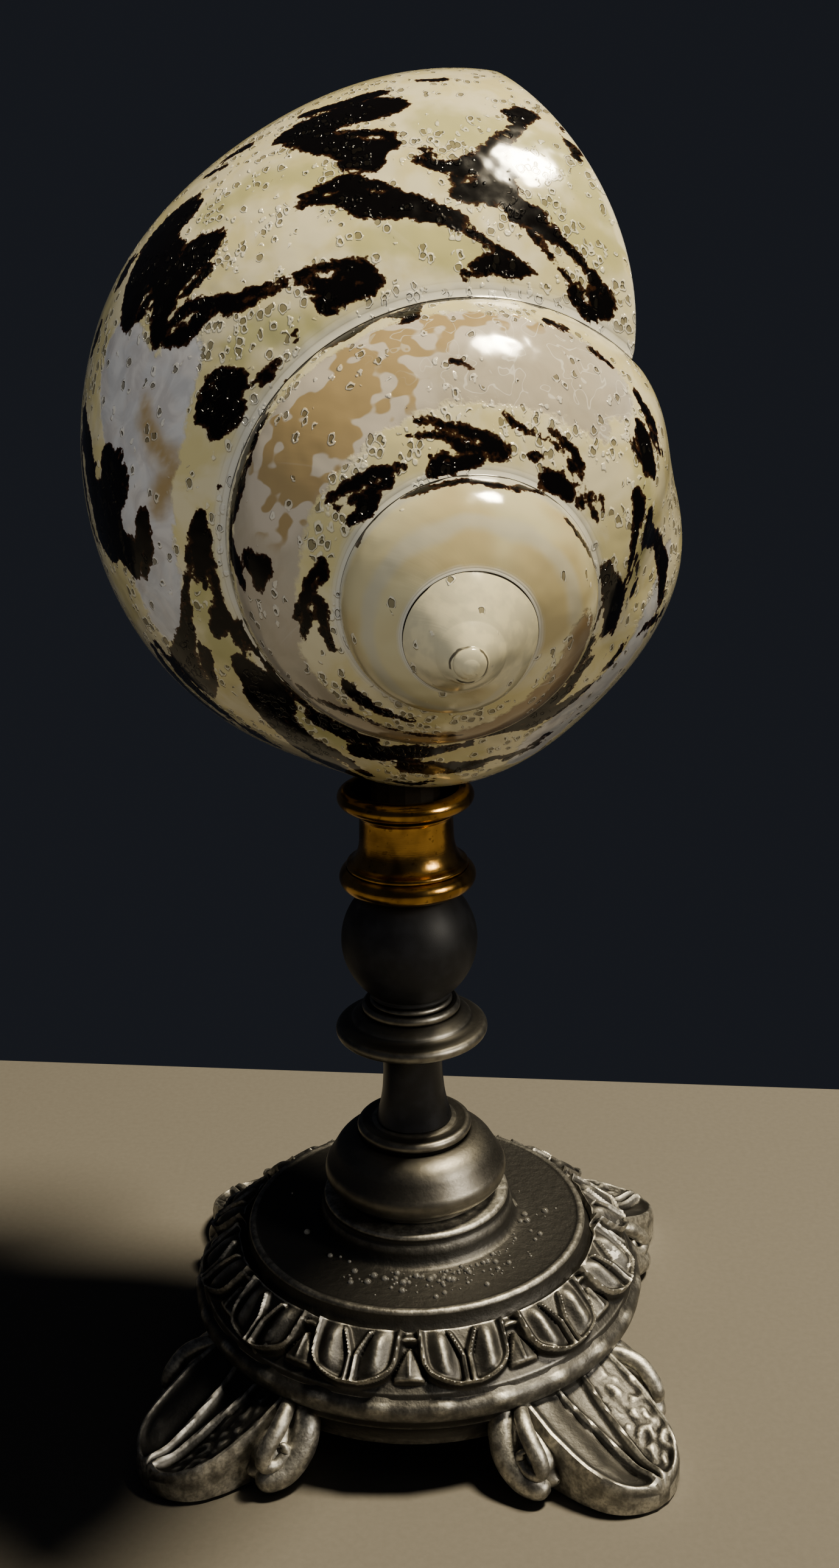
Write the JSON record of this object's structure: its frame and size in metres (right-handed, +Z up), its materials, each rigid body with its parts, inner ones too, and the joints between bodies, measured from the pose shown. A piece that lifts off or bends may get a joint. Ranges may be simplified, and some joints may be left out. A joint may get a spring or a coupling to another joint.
{
  "type": "west indian top shell on stand",
  "caption": "Ground and polished top shell with black flame markings, held spire forward on a turned stem over a round cast foot with leaf feet.",
  "frame": {"origin": "centre of the bounding box in X and Y, at the undersides of the feet in Z", "axes": "+Z up, along the stem; the spire points towards -Y, the viewer's side, and the shell's mouth opens towards +X and +Y"},
  "size_m": [0.096, 0.103, 0.2164],
  "materials": {
    "shell": "polished shell, cream porcelain layer with glossy black flames over pale nacre",
    "black_casting": "semi-gloss black over metal, rubbed brighter on the high spots",
    "matt_black": "matt black",
    "brass": "polished, with tarnish in the grooves",
    "steel": "plain zinc-plated",
    "adhesive": "set dark adhesive"
  },
  "bodies": {
    "root": {"shell": "shell", "base": "black_casting", "bell": "black_casting", "neck": "matt_black", "disc": "black_casting", "ball": "matt_black", "brass_collar": "brass", "washer": "steel", "hex_nut": "steel", "threaded_rod": "steel", "adhesive_pad": "adhesive"}
  },
  "joints": []
}
